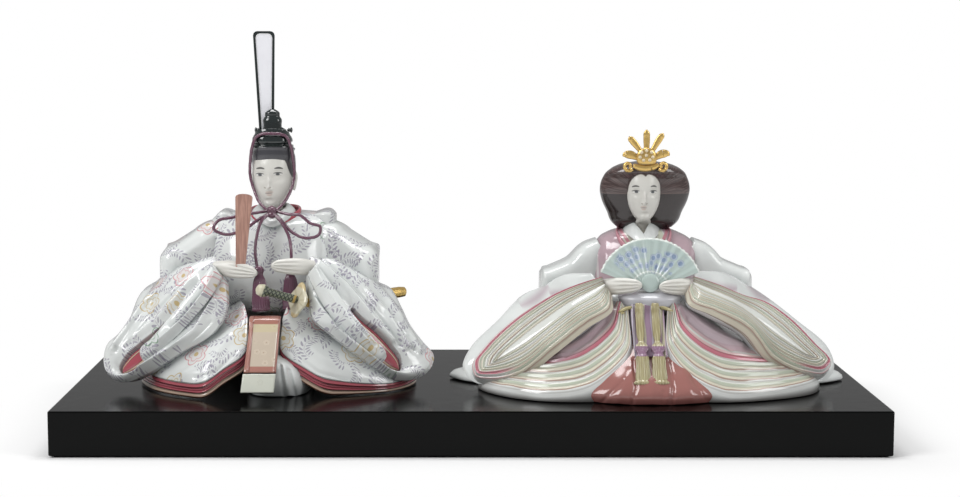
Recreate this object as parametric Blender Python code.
"""A pair of seated hina dolls, an emperor and an empress, cast in glazed porcelain, on a black lacquered board.

Each doll is put together from separately cast pieces: robe body, sleeves, skirt, hands, head, hair and so on.
Left and right are the viewer's. X runs to the viewer's right, Y away from the viewer, Z up. Metres.
The origin is the middle of the board's underside.
"""
import math

import bmesh
import bpy
import numpy as np
from mathutils import Vector
from mathutils.bvhtree import BVHTree

for leftover in list(bpy.data.objects):
    bpy.data.objects.remove(leftover, do_unlink=True)

# Clearances
seat_gap = 0.0003     # between a piece and what it stands on or slides in
carve_gap = 0.0004    # cleared round a piece where its neighbour gives way to it

# Display board
board_width = 0.680
board_depth = 0.300
board_height = 0.0367
board_edge = 0.0012
felt_thickness = 0.001
felt_inset = 0.004

# Emperor: where it sits, and the three sizes that its tables of places are shares of
emperor_side = -0.172     # from the board's middle to the middle of the doll
emperor_elbow = 0.100     # from the doll's middle to an elbow, along X
emperor_knee = 0.100      # from the doll's middle to a knee, along Y
emperor_wrist = 0.100     # from the board to a wrist, along Z

# Empress
empress_side = 0.150
empress_elbow = 0.100
empress_knee = 0.100
empress_wrist = 0.100

# Porcelain casting
casting_bore = 0.036      # width of the hollow under each robe body
casting_depth = 0.070     # height of that hollow
fold_depth = 0.0022       # how far the robes' folds stand out

# Emperor's robe
sleeve_swell = 0.0135     # how far the front of a sleeve bulges
sleeve_back = 0.016       # how far its back bulges
mouth_depth = 0.0060      # how deep the sleeve's mouth is
mouth_slope_share = 0.08   # how far the mouth narrows down to its floor
lining_swell = 0.0014
tongue_swell = 0.0062     # how far the inner sleeve's fold stands out
skirt_swell = 0.020
hem_band = 0.0135         # height of the stack of under robe hems at the knee
hem_step = 0.0016         # how far one hem stands out past the next
apron_thickness = 0.0034
apron_frame = 0.0024
apron_recess = 0.0008
apron_end_thickness = 0.0052

# Emperor's head and hat
emperor_face_height = 0.0475   # chin to hat band
emperor_face_width = 0.0360
emperor_face_depth = 0.0390
hat_height = 0.0175
hat_width = 0.0345
hat_depth = 0.0350
knob_height = 0.0215
knob_width = 0.0165
knob_depth = 0.0150
pin_length = 0.0330
pin_radius = 0.0011
pin_end_radius = 0.0021
tail_length = 0.0890           # the upright tail of the hat, above its socket
tail_width = 0.0188
tail_foot_width = 0.0124
tail_bar = 0.0021
tail_socket = 0.0060
tail_panel_thickness = 0.0009
cord_radius = 0.0016
tassel_length = 0.0390
tassel_width = 0.0165

# Baton
baton_length = 0.0640
baton_head_width = 0.0143
baton_foot_width = 0.0076
baton_thickness = 0.0030

# Sword
hilt_length = 0.0400
hilt_height = 0.0072
hilt_thickness = 0.0058
pommel_length = 0.0085
pommel_width = 0.0108
guard_radius = 0.0136
guard_thickness = 0.0032
guard_lobe_share = 0.13
scabbard_peg = 0.0200
scabbard_height = 0.0076
scabbard_thickness = 0.0060
scabbard_end_length = 0.0680
scabbard_end_width = 0.0096

# Hands
hand_length = 0.0360
hand_height = 0.0145
hand_thickness = 0.0088

# Empress's robe
mantle_swell = 0.0100
mantle_back = 0.0150
band_step = 0.0013        # how far one sleeve band stands above the next
banded_swell = 0.0105
banded_back = 0.0100
band_skirt_swell = 0.0150
ribbon_thickness = 0.0030
tassel_strip_width = 0.0088
tassel_strip_thickness = 0.0036

# Empress's head, tiara and fan
empress_face_height = 0.0430
empress_face_width = 0.0310
empress_face_depth = 0.0350
hair_tail_width = 0.0150
hair_tail_thickness = 0.0060
tiara_half_width = 0.0195
tiara_thickness = 0.0032
medallion_radius = 0.0088
medallion_thickness = 0.0054
fan_radius = 0.0450
fan_rib_radius = 0.0150
fan_lobe_radius = 0.0078
fan_thickness = 0.0016
fan_pleat = 0.0009
fan_pleats = 12
fan_half_angle = math.radians(68)
fan_lean = math.radians(11)

# Steps of a surface, few enough for a light model
round_steps = 20
loop_steps = 24
light_enough = 300                     # triangles of a piece that needs no lightening
light_shares = (0.45, 0.6, 0.75, 0.9)   # of its triangles that a cut piece is left with

board_top = felt_thickness + seat_gap + board_height
up = np.array((0.0, 0.0, 1.0))


def finish(name, colour, roughness, metallic=0.0, coat=0.0):
    """A material of one colour"""
    material = bpy.data.materials.new(name)
    material.use_nodes = True
    shader = material.node_tree.nodes["Principled BSDF"]
    shader.inputs["Base Color"].default_value = (*colour, 1.0)
    shader.inputs["Roughness"].default_value = roughness
    shader.inputs["Metallic"].default_value = metallic
    shader.inputs["Coat Weight"].default_value = coat
    material.diffuse_color = (*colour, 1.0)
    return material


def unit(vector):
    vector = np.asarray(vector, float)
    return vector / np.linalg.norm(vector)


def curve(points, count, closed=False, tip=None):
    """A smooth curve through the points, sampled evenly, or evenly on either side of the tip's point.

    Any columns after the third are carried along.
    """
    points = np.asarray(points, float)
    if closed:
        points = np.vstack([points, points[:1]])
    spans = np.linalg.norm(np.diff(points[:, :3], axis=0), axis=1)
    knots = np.concatenate([[0.0], np.cumsum(spans)])
    chords = np.diff(points, axis=0) / spans[:, None]
    slopes = np.empty_like(points)
    before, after = spans[:-1, None], spans[1:, None]
    slopes[1:-1] = (chords[:-1] * after + chords[1:] * before) / (before + after)
    if closed:
        first = (chords[-1] * spans[0] + chords[0] * spans[-1]) / (spans[0] + spans[-1])
        slopes[0] = slopes[-1] = first
    else:
        slopes[0], slopes[-1] = chords[0], chords[-1]
    if closed:
        places = np.linspace(0.0, knots[-1], count + 1)[:-1]
    elif tip:
        steps = np.arange(count // 2) / (count // 2 - 0.5)
        places = np.concatenate([steps * knots[tip], knots[-1] - steps[::-1] * (knots[-1] - knots[tip])])
    else:
        places = np.linspace(0.0, knots[-1], count)
    span = np.clip(np.searchsorted(knots, places, side="right") - 1, 0, len(spans) - 1)
    t = ((places - knots[span]) / spans[span])[:, None]
    reach = spans[span][:, None]
    start, end = points[span], points[span + 1]
    start_slope, end_slope = slopes[span], slopes[span + 1]
    return (start * (2 * t**3 - 3 * t**2 + 1) + end * (3 * t**2 - 2 * t**3)
            + reach * (start_slope * (t**3 - 2 * t**2 + t) + end_slope * (t**3 - t**2)))


class Doll:
    """A doll's own frame: an empty on its lift axis, and the three sizes that its places are shares of"""

    def __init__(self, name, side, elbow, knee, wrist):
        self.sizes = np.array((elbow, knee, wrist))
        self.empty = bpy.data.objects.new(name, None)
        self.empty.location = (side, 0.0, board_top + seat_gap)
        bpy.context.scene.collection.objects.link(self.empty)
        self.pieces = []

    def at(self, shares):
        """Places in metres in the doll's frame, from shares of its sizes"""
        return np.asarray(shares, float) * self.sizes

    def add(self, piece, holder=None):
        piece.parent = holder or self.empty
        self.pieces.append(piece)
        return piece

    def holder(self, name, place):
        """An empty on a loose piece's own slide axis"""
        empty = bpy.data.objects.new(name, None)
        empty.location = place
        empty.parent = self.empty
        bpy.context.scene.collection.objects.link(empty)
        return empty


def solid(name, mesh, material, origin=(0.0, 0.0, 0.0)):
    """An object from a bmesh: doubles merged, faces turned out, smooth where it is round"""
    bmesh.ops.remove_doubles(mesh, verts=mesh.verts, dist=1e-7)
    bmesh.ops.translate(mesh, verts=mesh.verts, vec=-Vector(origin))
    bmesh.ops.triangulate(mesh, faces=mesh.faces)
    bmesh.ops.recalc_face_normals(mesh, faces=mesh.faces)
    data = bpy.data.meshes.new(name)
    mesh.to_mesh(data)
    mesh.free()
    data.shade_smooth()
    data.set_sharp_from_angle(angle=math.radians(40))
    data.materials.append(material)
    piece = bpy.data.objects.new(name, data)
    bpy.context.scene.collection.objects.link(piece)
    return piece


def skin(name, rings, material, caps="fan", origin=(0.0, 0.0, 0.0), hoop=False):
    """A closed body over a stack of rings of equal count, its ends closed flat, by fans, or zipped up where they are long"""
    mesh = bmesh.new()
    rows = [[mesh.verts.new(point) for point in ring] for ring in rings]
    count = len(rows[0])
    pairs = list(zip(rows, rows[1:]))
    if hoop:
        pairs.append((rows[-1], rows[0]))
    for lower, upper in pairs:
        for i in range(count):
            j = (i + 1) % count
            mesh.faces.new((lower[i], lower[j], upper[j], upper[i]))
    for row in () if hoop else (rows[0], rows[-1]):
        if caps == "flat":
            mesh.faces.new(row)
        elif caps == "fan":
            middle = mesh.verts.new(np.mean([vert.co for vert in row], axis=0))
            for i in range(count):
                mesh.faces.new((row[i], row[(i + 1) % count], middle))
        else:
            for i in range(count // 2 - 1):
                mesh.faces.new((row[i], row[i + 1], row[count - 2 - i], row[count - 1 - i]))
    return solid(name, mesh, material, origin)


def oval(centre, across, over, half_wide, half_tall, power, count):
    """A ring of points: an ellipse at power 2, a box with round corners above it"""
    angles = np.linspace(0.0, 2 * math.pi, count, endpoint=False)
    c, s = np.cos(angles), np.sin(angles)
    wide = np.sign(c) * np.abs(c) ** (2 / power) * half_wide
    tall = np.sign(s) * np.abs(s) ** (2 / power) * half_tall
    return np.asarray(centre) + wide[:, None] * across + tall[:, None] * over


def tube(name, rows, material, wide=(1.0, 0.0, 0.0), count=12, origin=(0.0, 0.0, 0.0), hoop=False):
    """A body whose section changes along a path; a row is x, y, z, half width, half height and power"""
    rows = np.asarray(rows, float)
    path = rows[:, :3]
    if hoop:
        along = np.roll(path, -1, axis=0) - np.roll(path, 1, axis=0)
    else:
        along = np.gradient(path, axis=0)
    rings = []
    for row, direction in zip(rows, along):
        direction = unit(direction)
        across = unit(np.asarray(wide) - np.dot(wide, direction) * direction)
        over = np.cross(direction, across)
        rings.append(oval(row[:3], across, over, row[3], row[4], row[5], count))
    return skin(name, rings, material, origin=origin, hoop=hoop)


def column(name, doll, shares, material, count=round_steps, rows=None, folds=0, fold_rise=1.0):
    """An upright body; a row of shares is the middle's x, y, z, the half width, the half depth and the power"""
    shares = np.asarray(shares, float)
    table = np.hstack([shares[:, :3] * doll.sizes, shares[:, 3:5] * doll.sizes[:2], shares[:, 5:]])
    table = curve(table, rows) if rows else table
    rings = []
    for row in table:
        ring = oval(row[:3], np.array((1.0, 0.0, 0.0)), np.array((0.0, 1.0, 0.0)), row[3], row[4], row[5], count)
        if folds:
            turns = np.linspace(0.0, 2 * math.pi, count, endpoint=False)
            outward = (ring - row[:3]) / np.linalg.norm(ring - row[:3], axis=1)[:, None]
            fade = np.clip(1 - row[2] / (fold_rise * doll.sizes[2]), 0.0, 1.0)
            ring = ring + outward * (np.cos(folds * turns) * fold_depth * fade)[:, None]
        rings.append(ring)
    return skin(name, rings, material)


def drape_edge(outline, count):
    """Points round a drape's outline, as many on one side of its tip as on the other"""
    outline = np.asarray(outline)
    mouth = (outline[0] + outline[-1]) / 2
    tip = int(np.argmax(np.linalg.norm(outline - mouth, axis=1)))
    return curve(outline, count, tip=tip)


def leaf(name, outline, spine, facing, front, back, material, count=loop_steps, swell=None, origin=(0.0, 0.0, 0.0)):
    """A drape of cloth: an open outline from one side of its mouth round its tip to the other, and a spine inside.

    front and back list, from the edge inwards, how far a ring lies from the spine to the outline, and its height.
    Without a spine, the middle between the outline's two sides is taken.
    swell scales the heights along the spine, from its start to its tip.
    """
    half = count // 2
    edge = drape_edge(outline, count)
    if spine is None:
        centres = (edge[:half] + edge[:half - 1:-1]) / 2
        middle = curve(centres[:half - 2], half)
    else:
        middle = curve(spine, half)
    middle = np.vstack([middle, middle[::-1]])
    stretch = np.ones(half) if swell is None else np.interp(np.linspace(0, 1, half), *np.transpose(swell))
    stretch = np.concatenate([stretch, stretch[::-1]])[:, None]
    facing = unit(facing)
    rings = [middle + (edge - middle) * share - facing * height * stretch for share, height in reversed(back)]
    rings.append(edge)
    rings += [middle + (edge - middle) * share + facing * height * stretch for share, height in front]
    return skin(name, rings, material, caps="zip", origin=origin)


def strip(name, rows, thickness, material, recess=None):
    """A flat band hung over a path; a row is its left x, right x, y and z"""
    rows = np.asarray(rows, float)
    path = rows[:, 2:]
    along = np.gradient(path, axis=0)
    mesh = bmesh.new()
    rings = []
    for (left, right, y, z), (dy, dz) in zip(rows, along):
        inward = np.array((-dz, dy)) / math.hypot(dy, dz)
        inward = inward if inward[0] > 0 else -inward
        depth_y, depth_z = inward * thickness
        rings.append([mesh.verts.new(p) for p in (
            (left, y, z), (right, y, z), (right, y + depth_y, z + depth_z), (left, y + depth_y, z + depth_z))])
    faces = []
    for lower, upper in zip(rings, rings[1:]):
        for i in range(4):
            face = mesh.faces.new((lower[i], lower[(i + 1) % 4], upper[(i + 1) % 4], upper[i]))
            if i == 0:
                faces.append(face)
    mesh.faces.new(rings[0])
    mesh.faces.new(rings[-1])
    bmesh.ops.recalc_face_normals(mesh, faces=mesh.faces)
    if recess:
        margin, depth = recess
        bmesh.ops.inset_region(mesh, faces=faces, thickness=margin, use_even_offset=True)
        bmesh.ops.inset_region(mesh, faces=faces, thickness=depth / 4, depth=-depth, use_even_offset=True)
    return solid(name, mesh, material)


def plate(name, outline, across, over, thickness, material, place, origin=(0.0, 0.0, 0.0)):
    """A flat outline, in metres along across and over, given a thickness behind and in front of a place"""
    across, over = unit(across), unit(over)
    through = np.cross(across, over) * thickness / 2
    flat = np.array([np.asarray(place) + x * across + y * over for x, y in outline])
    return skin(name, [flat - through, flat + through], material, caps="flat", origin=origin)


def volume(faces):
    """The volume inside a closed set of faces"""
    return sum(face.verts[0].co.dot(face.verts[1].co.cross(face.verts[2].co)) for face in faces) / 6


def outcome(piece, operation, solver):
    """The piece's mesh after its Boolean, as triangles, its volume, and whether it is closed"""
    piece.modifiers[0].solver = solver
    bpy.context.view_layer.update()
    graph = bpy.context.evaluated_depsgraph_get()
    data = bpy.data.meshes.new_from_object(piece.evaluated_get(graph), depsgraph=graph)
    mesh = bmesh.new()
    mesh.from_mesh(data)
    bmesh.ops.triangulate(mesh, faces=mesh.faces)
    closed = all(len(edge.link_faces) == 2 for edge in mesh.edges)
    return data, mesh, volume(mesh.faces), closed


def drop_crumbs(mesh):
    """Drops the crumbs that a cut leaves beside the main body"""
    unseen = set(mesh.verts)
    bodies = []
    while unseen:
        body, front = [], [unseen.pop()]
        while front:
            vert = front.pop()
            body.append(vert)
            for edge in vert.link_edges:
                other = edge.other_vert(vert)
                if other in unseen:
                    unseen.discard(other)
                    front.append(other)
        bodies.append(body)
    bodies.sort(key=lambda body: volume({face for vert in body for face in vert.link_faces}))
    for body in bodies[:-1]:
        bmesh.ops.delete(mesh, geom=body, context="VERTS")


def combine(piece, other, operation):
    """Cuts the other object out of the piece, or joins it on"""
    volumes = []
    for ob in (piece, other):
        mesh = bmesh.new()
        mesh.from_mesh(ob.data)
        volumes.append(volume(mesh.faces))
        mesh.free()
    whole, tool = volumes
    least, most = (whole - tool, whole) if operation == "DIFFERENCE" else (max(whole, tool), whole + tool)
    slack = (most - least) / 1000
    modifier = piece.modifiers.new(operation.lower(), "BOOLEAN")
    modifier.operation = operation
    modifier.object = other
    for solver in ("EXACT", "MANIFOLD"):
        data, mesh, inside, closed = outcome(piece, operation, solver)
        if closed and least - slack <= inside <= most + slack:
            break
    piece.modifiers.clear()
    drop_crumbs(mesh)
    mesh.to_mesh(data)
    mesh.free()
    old = piece.data
    piece.data = data
    bpy.data.meshes.remove(old)
    data.shade_smooth()
    data.set_sharp_from_angle(angle=math.radians(40))


def joined(piece, *others):
    """One body from overlapping ones"""
    for other in others:
        combine(piece, other, "UNION")
        bpy.data.objects.remove(other, do_unlink=True)
    return piece


def cut(piece, cutter):
    """The piece less a cutter that has no other use"""
    combine(piece, cutter, "DIFFERENCE")
    bpy.data.objects.remove(cutter, do_unlink=True)


def grown(piece, gap):
    """A copy of a piece with its faces moved out by a gap, to cut its seat in a neighbour"""
    mesh = bmesh.new()
    mesh.from_mesh(piece.data)
    mesh.normal_update()
    moves = [vert.normal * gap * min(vert.calc_shell_factor(), 2.0) for vert in mesh.verts]
    for vert, move in zip(mesh.verts, moves):
        vert.co += move
    data = bpy.data.meshes.new(piece.name + "_seat")
    mesh.to_mesh(data)
    mesh.free()
    cutter = bpy.data.objects.new(data.name, data)
    cutter.parent = piece.parent
    cutter.hide_render = True
    cutter.display_type = "WIRE"
    bpy.context.scene.collection.objects.link(cutter)
    return cutter


def tree(piece):
    """The piece's surface in the world, for finding what it touches"""
    mesh = bmesh.new()
    mesh.from_mesh(piece.data)
    mesh.transform(piece.matrix_world)
    result = BVHTree.FromBMesh(mesh)
    mesh.free()
    return result


def seat(pieces):
    """Goes through the pieces, each giving way to those before it that it overlaps"""
    bpy.context.view_layer.update()
    cutters = [grown(piece, carve_gap) for piece in pieces]
    bpy.context.view_layer.update()
    shapes = [tree(piece) for piece in pieces]
    for index, piece in enumerate(pieces):
        for cutter, shape in zip(cutters[:index], shapes):
            if shape.overlap(tree(piece)):
                combine(piece, cutter, "DIFFERENCE")
    for cutter in cutters:
        bpy.data.objects.remove(cutter, do_unlink=True)


def crosses_itself(piece):
    """Whether two faces that share no corner meet"""
    shape = tree(piece)
    faces = piece.data.polygons
    return any(a < b and not set(faces[a].vertices) & set(faces[b].vertices) for a, b in shape.overlap(shape))


def lighten(pieces, kept):
    """Takes out triangles that the cuts left over, as far as every piece stays clear of its neighbours"""
    shapes = [tree(piece) for piece in pieces]
    for index, piece in enumerate(pieces):
        whole = piece.data
        if piece in kept or len(whole.polygons) < light_enough:
            continue
        for share in light_shares:
            modifier = piece.modifiers.new("lighten", "DECIMATE")
            modifier.ratio = share
            bpy.context.view_layer.update()
            graph = bpy.context.evaluated_depsgraph_get()
            piece.data = bpy.data.meshes.new_from_object(piece.evaluated_get(graph), depsgraph=graph)
            piece.modifiers.clear()
            shape = tree(piece)
            others = shapes[:index] + shapes[index + 1:]
            if not any(shape.overlap(other) for other in others) and not crosses_itself(piece):
                shapes[index] = shape
                break
            piece.data = whole


# Finishes
porcelain = finish("porcelain", (0.80, 0.83, 0.80), 0.12, coat=0.6)
robe_white = finish("robe_white", (0.78, 0.81, 0.80), 0.14, coat=0.6)
coral = finish("coral_glaze", (0.62, 0.24, 0.27), 0.16, coat=0.6)
coral_hakama = finish("coral_hakama_glaze", (0.58, 0.30, 0.28), 0.16, coat=0.6)
cream = finish("cream_glaze", (0.74, 0.70, 0.60), 0.18, coat=0.5)
skin_white = finish("skin_porcelain", (0.82, 0.79, 0.75), 0.35)
hair_grey = finish("hair_grey_glaze", (0.12, 0.12, 0.13), 0.18, coat=0.5)
hair_brown = finish("hair_brown_glaze", (0.11, 0.07, 0.07), 0.2, coat=0.5)
hat_black = finish("hat_black_glaze", (0.02, 0.04, 0.04), 0.1, coat=0.8)
plum = finish("plum_cord_glaze", (0.25, 0.10, 0.16), 0.2, coat=0.5)
rosewood = finish("rosewood", (0.42, 0.24, 0.20), 0.45)
gold = finish("gold_lustre", (0.70, 0.48, 0.16), 0.25, metallic=1.0)
mauve = finish("mauve_glaze", (0.58, 0.42, 0.46), 0.18, coat=0.6)
banded = finish("banded_glaze", (0.70, 0.70, 0.60), 0.18, coat=0.6)
olive = finish("olive_cord_glaze", (0.50, 0.46, 0.26), 0.3, coat=0.4)
tan = finish("tan_glaze", (0.62, 0.47, 0.38), 0.25, coat=0.4)
grip_green = finish("grip_green_glaze", (0.12, 0.14, 0.12), 0.4)
tail_gauze = finish("tail_gauze", (0.80, 0.80, 0.82), 0.4)
fan_white = finish("fan_glaze", (0.66, 0.74, 0.72), 0.15, coat=0.6)
lacquer = finish("black_lacquer", (0.01, 0.01, 0.01), 0.2, coat=0.6)
felt = finish("black_felt", (0.02, 0.02, 0.02), 0.95)


# Display board, with its felt underneath
def board():
    for name, width, depth, height, base, edge, material in (
        ("base_felt", board_width - 2 * felt_inset, board_depth - 2 * felt_inset, felt_thickness, 0.0, 0.0, felt),
        ("base_board", board_width, board_depth, board_height, felt_thickness + seat_gap, board_edge, lacquer),
    ):
        mesh = bmesh.new()
        bmesh.ops.create_cube(mesh, size=1.0)
        bmesh.ops.scale(mesh, verts=mesh.verts, vec=(width, depth, height))
        bmesh.ops.translate(mesh, verts=mesh.verts, vec=(0.0, 0.0, height / 2 + base))
        if edge:
            bmesh.ops.bevel(mesh, geom=mesh.edges, offset=edge, segments=2, profile=0.5, affect="EDGES")
        solid(name, mesh, material)


board()

# Both dolls' hands and heads

hand_section_share = 0.26    # how deep the furrows between the fingers are
hand_rows_shares = (         # along the hand, half height, half thickness, how deep the furrows are
    (-0.10, 0.36, 0.44, 0.0), (0.0, 0.40, 0.46, 0.0), (0.16, 0.46, 0.50, 0.0), (0.36, 0.50, 0.50, 0.3),
    (0.56, 0.47, 0.44, 1.0), (0.76, 0.40, 0.36, 1.0), (0.92, 0.28, 0.27, 1.0), (1.0, 0.12, 0.14, 0.4))


def hand(name, wrist, tip, droop):
    """A hand held sideways, its fingers together, four furrowed bumps to the front"""
    wrist, tip = np.asarray(wrist), np.asarray(tip)
    along = unit(tip - wrist)
    over = unit(up - np.dot(up, along) * along)
    through = np.cross(along, over)
    through = through if through[1] < 0 else -through
    heights = np.linspace(-1.0, 1.0, 13)
    rings = []
    for place, tall, thick, furrow in hand_rows_shares:
        middle = wrist + along * place * hand_length - over * droop * place**2 * hand_height
        bulge = np.sqrt(np.clip(1 - heights**2 * 0.98, 0.0, 1.0))
        furrows = 1 - hand_section_share * furrow * np.abs(np.cos(heights * 2 * math.pi)) ** 3
        front = [middle + over * h * tall * hand_height + through * b * f * thick * hand_thickness
                 for h, b, f in zip(heights, bulge, furrows)]
        inner = heights[::-3][1:-1]
        back = [middle + over * h * tall * hand_height - through * math.sqrt(1 - h * h) * thick * hand_thickness
                for h in inner]
        rings.append(np.array(front + back))
    return skin(name, rings, skin_white)


head_rows_shares = (   # height over the chin, front, back and half width, as shares of the face's sizes
    (-0.20, -0.20, 0.28, 0.26), (-0.08, -0.28, 0.28, 0.25), (-0.03, -0.42, 0.29, 0.24),
    (0.00, -0.50, 0.30, 0.26), (0.06, -0.545, 0.31, 0.33), (0.13, -0.54, 0.32, 0.385), (0.21, -0.545, 0.34, 0.43),
    (0.29, -0.54, 0.37, 0.46), (0.37, -0.535, 0.40, 0.48), (0.45, -0.53, 0.43, 0.492), (0.53, -0.525, 0.45, 0.50),
    (0.61, -0.53, 0.46, 0.50), (0.70, -0.525, 0.46, 0.495), (0.80, -0.505, 0.45, 0.48), (0.90, -0.46, 0.43, 0.45),
    (1.00, -0.39, 0.38, 0.39), (1.08, -0.28, 0.30, 0.30), (1.13, -0.12, 0.16, 0.15))
face_bumps_shares = (   # across and up the face, spread across and up, and how far it stands out
    (0.0, 0.335, 0.085, 0.055, 0.085), (0.0, 0.43, 0.06, 0.09, 0.055), (0.0, 0.53, 0.06, 0.08, 0.030),
    (0.20, 0.515, 0.15, 0.065, -0.030), (-0.20, 0.515, 0.15, 0.065, -0.030), (0.0, 0.20, 0.14, 0.032, 0.030),
    (0.0, 0.055, 0.14, 0.06, 0.020), (0.30, 0.36, 0.12, 0.12, 0.012), (-0.30, 0.36, 0.12, 0.12, 0.012))
head_turn_share = 0.45   # how much the face is flattened towards the front


def head(name, chin, height, width, depth, turn, ears, count=20):
    """Neck, face and skull in one casting, with a nose, eye hollows, lips and chin"""
    chin = np.asarray(chin)
    rings = []
    for rise, front, back, half in curve([(0.0, 0.0, r, f, b, h) for r, f, b, h in head_rows_shares], 17)[:, 2:]:
        angles = np.linspace(0.0, 2 * math.pi, count, endpoint=False) + math.pi / 2
        s, c = np.cos(angles), np.sin(angles)
        forward = np.clip(c, 0.0, 1.0)
        x = s * half * width * (1 + 0.06 * forward)
        y = np.where(c > 0, front * depth * c ** 1.0, -back * depth * c)
        y = np.where(c > 0, front * depth * np.abs(c) ** 0.86, y)
        for bump_x, bump_z, wide, tall, out in face_bumps_shares:
            lift = np.exp(-((x / width - bump_x) / wide) ** 2 - ((rise - bump_z) / tall) ** 2)
            y = y - lift * out * depth * (c > 0)
        spun_x = x * math.cos(turn) - y * math.sin(turn)
        spun_y = x * math.sin(turn) + y * math.cos(turn)
        rings.append(np.stack([spun_x, spun_y, np.full(count, rise * height)], axis=1) + chin)
    face = skin(name, rings, skin_white)
    for side in ears:
        lobe = [(side * width * (0.47 + a), depth * b, height * c, width * 0.045, depth * d, 2.0)
                for a, b, c, d in ((0.0, 0.05, 0.30, 0.03), (0.02, 0.06, 0.34, 0.07), (0.04, 0.08, 0.42, 0.09),
                                   (0.05, 0.09, 0.50, 0.11), (0.04, 0.09, 0.57, 0.09), (0.02, 0.08, 0.60, 0.03))]
        lobe = [(x * math.cos(turn) - y * math.sin(turn) + chin[0], x * math.sin(turn) + y * math.cos(turn) + chin[1],
                 z + chin[2], w, d, p) for x, y, z, w, d, p in lobe]
        face = joined(face, tube(name + "_ear", lobe, skin_white, count=8))
    return face


# Emperor
emperor = Doll("emperor", emperor_side, emperor_elbow, emperor_knee, emperor_wrist)
E = emperor.at

emperor_body_shares = (
    (0.05, 0.40, 0.002, 0.90, 0.28, 2.4), (0.05, 0.40, 0.10, 0.93, 0.30, 2.4), (0.05, 0.38, 0.30, 0.88, 0.28, 2.4),
    (0.04, 0.34, 0.50, 0.74, 0.28, 2.4), (0.03, 0.12, 0.66, 0.62, 0.45, 2.4), (0.02, 0.03, 0.82, 0.58, 0.47, 2.4),
    (0.02, 0.02, 0.95, 0.57, 0.46, 2.4),
    (0.01, 0.05, 1.18, 0.55, 0.43, 2.4), (0.00, 0.09, 1.36, 0.52, 0.35, 2.5), (0.00, 0.12, 1.45, 0.44, 0.26, 2.5),
    (0.00, 0.13, 1.475, 0.30, 0.18, 2.4))
emperor_yoke_shares = (
    (-0.545, 0.17, 1.430, 0.024, 0.10), (-0.54, 0.17, 1.430, 0.030, 0.115), (-0.25, 0.18, 1.436, 0.045, 0.13),
    (0.25, 0.18, 1.436, 0.045, 0.13), (0.555, 0.17, 1.430, 0.030, 0.115), (0.56, 0.17, 1.430, 0.024, 0.10))
robe = column("emperor_robe_body", emperor, emperor_body_shares, robe_white)
yoke_rows = [(*E((x, y, z)), tall * emperor_wrist, deep * emperor_knee, 4.0)
             for x, y, z, tall, deep in emperor_yoke_shares]
robe = joined(robe, tube("yoke", yoke_rows, robe_white, wide=(0.0, 0.0, 1.0), count=8))

upper_arm_shares = (   # along the arm from the shoulder: x, y, z, half depth, half height
    (0.34, 0.08, 1.15, 0.24, 0.27), (0.46, 0.08, 1.12, 0.28, 0.31), (0.56, 0.07, 1.085, 0.29, 0.315),
    (0.80, 0.02, 1.02, 0.30, 0.24), (0.92, 0.0, 1.005, 0.28, 0.185), (0.94, 0.0, 1.01, 0.24, 0.155))
upper_arms = []
for side, name in ((-1, "left"), (1, "right")):
    rows = [(*E((side * x, y, z)), deep * emperor_knee, tall * emperor_wrist, 4.2)
            for x, y, z, deep, tall in upper_arm_shares]
    arm = tube("emperor_upper_arm_" + name, rows, robe_white, wide=(0.0, 1.0, 0.0), count=16)
    upper_arms.append(emperor.add(arm))

sleeve_left_shares = (
    (-0.42, -0.54, 1.13), (-0.60, -0.44, 1.08), (-0.80, -0.24, 0.99), (-0.97, -0.06, 0.88), (-1.10, -0.06, 0.80),
    (-1.185, -0.18, 0.58), (-1.28, -0.30, 0.44), (-1.37, -0.38, 0.37), (-1.40, -0.45, 0.26), (-1.38, -0.52, 0.16),
    (-1.285, -0.60, 0.085), (-1.18, -0.66, 0.08), (-1.04, -0.72, 0.14), (-0.71, -0.80, 0.35), (-0.41, -0.80, 0.54),
    (-0.32, -0.74, 0.70), (-0.33, -0.66, 0.91))
sleeve_right_shares = (
    (0.38, -0.55, 1.14), (0.56, -0.44, 1.09), (0.78, -0.24, 0.97), (0.93, -0.06, 0.86), (1.04, -0.02, 0.80),
    (1.13, -0.10, 0.66), (1.21, -0.17, 0.50), (1.33, -0.26, 0.36), (1.42, -0.34, 0.26), (1.41, -0.44, 0.19),
    (1.35, -0.53, 0.125), (1.24, -0.60, 0.09), (1.10, -0.66, 0.10), (0.98, -0.72, 0.18), (0.79, -0.79, 0.34),
    (0.56, -0.81, 0.52), (0.42, -0.79, 0.64), (0.38, -0.72, 0.80), (0.37, -0.66, 0.98))
spine_left_shares = ((-0.38, -0.61, 1.00), (-0.70, -0.64, 0.70), (-1.00, -0.62, 0.40), (-1.25, -0.58, 0.20))
spine_right_shares = ((0.385, -0.61, 1.02), (0.68, -0.62, 0.72), (0.96, -0.60, 0.43), (1.25, -0.54, 0.22))
mouth_left_shares = (
    (-0.70, -0.72, 0.71), (-0.91, -0.70, 0.54), (-1.06, -0.66, 0.42), (-1.20, -0.62, 0.29), (-1.245, -0.62, 0.19),
    (-1.22, -0.64, 0.15), (-1.10, -0.70, 0.17), (-0.95, -0.76, 0.29), (-0.80, -0.78, 0.43), (-0.67, -0.76, 0.57))
mouth_right_shares = (
    (0.74, -0.69, 0.73), (0.83, -0.69, 0.64), (0.97, -0.66, 0.52), (1.08, -0.63, 0.39), (1.15, -0.61, 0.265),
    (1.14, -0.63, 0.18), (1.07, -0.67, 0.17), (0.94, -0.73, 0.255), (0.77, -0.77, 0.43), (0.65, -0.77, 0.61))
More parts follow.
